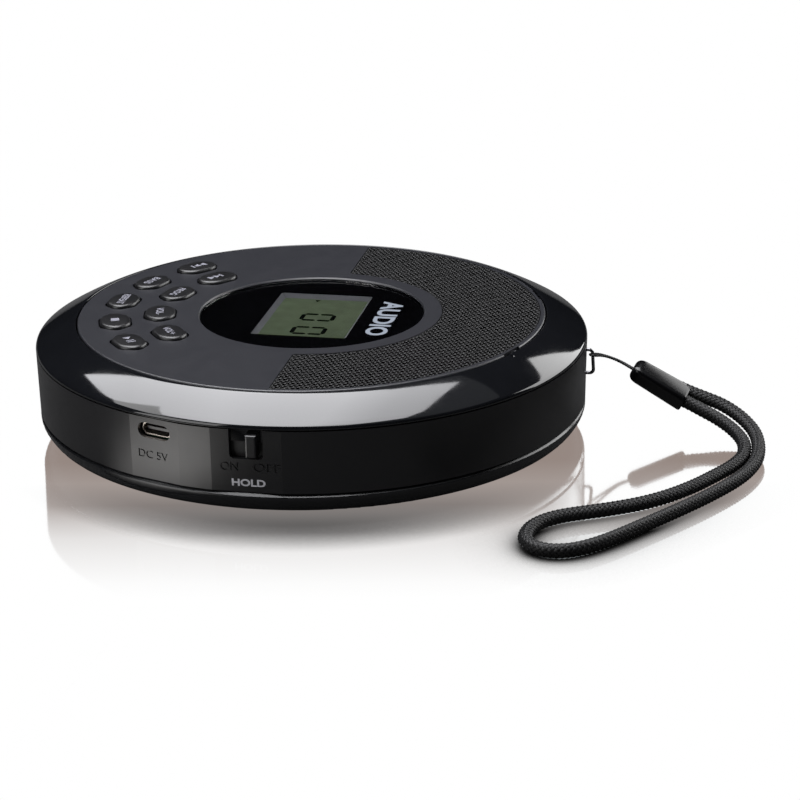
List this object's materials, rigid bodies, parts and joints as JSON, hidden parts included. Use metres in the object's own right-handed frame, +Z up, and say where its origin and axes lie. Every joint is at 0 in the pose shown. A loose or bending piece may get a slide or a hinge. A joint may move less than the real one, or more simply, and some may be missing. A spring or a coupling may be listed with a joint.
{
  "type": "portable cd player",
  "caption": "Flat round portable CD player with a hinged speaker lid, press buttons, small display, hold switch, charging port, headphone socket and wrist strap.",
  "frame": {"origin": "on the table, under the middle of the player without its strap", "axes": "+Z up, +Y the back, where the strap hangs and the lid is hinged, -Y the user's side, +X the side with the charging port and the hold switch"},
  "size_m": [0.1592, 0.1999, 0.0329],
  "materials": {
    "gloss_shell": "high gloss moulded black",
    "matte_wall": "fine spark-eroded matt black",
    "satin_panel": "satin dark grey, fine grain",
    "button_plastic": "satin black with pale printed symbols",
    "switch_plastic": "satin black",
    "inner_plastic": "matt black moulding",
    "jack_plastic": "black insulator",
    "grille_mesh": "fine woven mesh, black lacquered",
    "window_clear": "clear polished plastic window",
    "mask_black": "black print under the window",
    "bezel_grey": "light grey moulding round the display",
    "lcd_olive": "olive grey liquid crystal display",
    "circuit_board": "green solder mask",
    "chip_black": "moulded chips and capacitors",
    "battery_wrap": "blue shrink wrap",
    "steel": "zinc plated steel",
    "polished_steel": "ground and polished steel",
    "port_steel": "drawn stainless shell",
    "bail_wire": "bright dark wire",
    "sled_metal": "die-cast, as cast",
    "lens_glass": "coated lens",
    "magnet_dark": "dark plated magnet",
    "cone_paper": "pressed black paper",
    "rubber": "soft black rubber",
    "bead_plastic": "satin black moulding",
    "cord_black": "thin black cord",
    "strap_braid": "braided black cord with grey flecks"
  },
  "bodies": {
    "case": {"battery_pack": "battery_wrap", "bottom_cover": "gloss_shell", "case_screws": "steel", "charging_port_shell": "port_steel", "charging_port_tongue": "jack_plastic", "disc_tray": "inner_plastic", "guide_rods": "polished_steel", "headphone_jack": "jack_plastic", "hold_switch": "steel", "main_board": "circuit_board", "main_board_chips": "chip_black", "mechanism_dampers": "rubber", "mechanism_plate": "steel", "rubber_feet": "rubber", "side_board": "circuit_board", "side_wall": "matte_wall", "sled_motor": "steel", "spindle_motor": "steel", "strap_bail": "bail_wire", "strap_bead": "bead_plastic", "thin_cord": "cord_black", "top_ring": "gloss_shell", "wrist_loop": "strap_braid"},
    "lid": {"top_panel": "satin_panel", "hinge_pins": "polished_steel", "lid_inner_cover": "inner_plastic", "lid_screws": "steel", "speaker_grille": "grille_mesh", "speaker_frames": "steel", "speaker_magnets": "magnet_dark", "speaker_cones": "cone_paper", "display_window": "window_clear", "display_mask": "mask_black", "lcd_bezel": "bezel_grey", "lcd_glass": "lcd_olive", "button_board": "circuit_board", "button_mat": "rubber"},
    "turntable": {"turntable": "inner_plastic", "spindle_shaft": "polished_steel", "disc_clips": "polished_steel", "turntable_pad": "rubber"},
    "laser_sled": {"laser_sled": "sled_metal", "laser_lens": "lens_glass"},
    "lead_screw": {"lead_screw": "polished_steel"},
    "hold_knob": {"hold_knob": "switch_plastic"},
    "open_button": {"open_button": "switch_plastic"},
    "play_pause_button": {"play_pause_button": "button_plastic"},
    "stop_button": {"stop_button": "button_plastic"},
    "repeat_button": {"repeat_button": "button_plastic"},
    "bass_boost_button": {"bass_boost_button": "button_plastic"},
    "skip_forward_button": {"skip_forward_button": "button_plastic"},
    "volume_up_button": {"volume_up_button": "button_plastic"},
    "volume_down_button": {"volume_down_button": "button_plastic"},
    "program_button": {"program_button": "button_plastic"},
    "skip_back_button": {"skip_back_button": "button_plastic"}
  },
  "joints": [
    {"name": "lid_hinge", "type": "hinge", "parent": "case", "child": "lid", "pos_m": [0, 0.059, 0.0309], "axis": [-1, 0, 0], "range_deg": [0, 60]},
    {"name": "turntable_spin", "type": "hinge", "parent": "case", "child": "turntable", "pos_m": [0, 0, 0.02], "axis": [0, 0, 1], "continuous": true},
    {"name": "sled_slide", "type": "slide", "parent": "case", "child": "laser_sled", "axis": [1, 0, 0], "range_m": [0, 0.033]},
    {"name": "screw_spin", "type": "hinge", "parent": "case", "child": "lead_screw", "pos_m": [0.03, -0.0215, 0.0106], "axis": [1, 0, 0], "range_deg": [-5, 3965]},
    {"name": "hold_slide", "type": "slide", "parent": "case", "child": "hold_knob", "axis": [0, -1, 0], "range_m": [0, 0.0032]},
    {"name": "open_press", "type": "slide", "parent": "case", "child": "open_button", "axis": [0, 1, 0], "range_m": [0, 0.0015], "stiffness_N_per_m": 800},
    {"name": "play_pause_press", "type": "slide", "parent": "lid", "child": "play_pause_button", "axis": [0, 0, -1], "range_m": [0, 0.0005], "stiffness_N_per_m": 1000},
    {"name": "stop_press", "type": "slide", "parent": "lid", "child": "stop_button", "axis": [0, 0, -1], "range_m": [0, 0.0005], "stiffness_N_per_m": 1000},
    {"name": "repeat_press", "type": "slide", "parent": "lid", "child": "repeat_button", "axis": [0, 0, -1], "range_m": [0, 0.0005], "stiffness_N_per_m": 1000},
    {"name": "bass_boost_press", "type": "slide", "parent": "lid", "child": "bass_boost_button", "axis": [0, 0, -1], "range_m": [0, 0.0005], "stiffness_N_per_m": 1000},
    {"name": "skip_forward_press", "type": "slide", "parent": "lid", "child": "skip_forward_button", "axis": [0, 0, -1], "range_m": [0, 0.0005], "stiffness_N_per_m": 1000},
    {"name": "volume_up_press", "type": "slide", "parent": "lid", "child": "volume_up_button", "axis": [0, 0, -1], "range_m": [0, 0.0005], "stiffness_N_per_m": 1000},
    {"name": "volume_down_press", "type": "slide", "parent": "lid", "child": "volume_down_button", "axis": [0, 0, -1], "range_m": [0, 0.0005], "stiffness_N_per_m": 1000},
    {"name": "program_press", "type": "slide", "parent": "lid", "child": "program_button", "axis": [0, 0, -1], "range_m": [0, 0.0005], "stiffness_N_per_m": 1000},
    {"name": "skip_back_press", "type": "slide", "parent": "lid", "child": "skip_back_button", "axis": [0, 0, -1], "range_m": [0, 0.0005], "stiffness_N_per_m": 1000}
  ],
  "couplings": [
    {"joint": "screw_spin", "follows": "sled_slide", "rad_per_m": 2094.4}
  ]
}
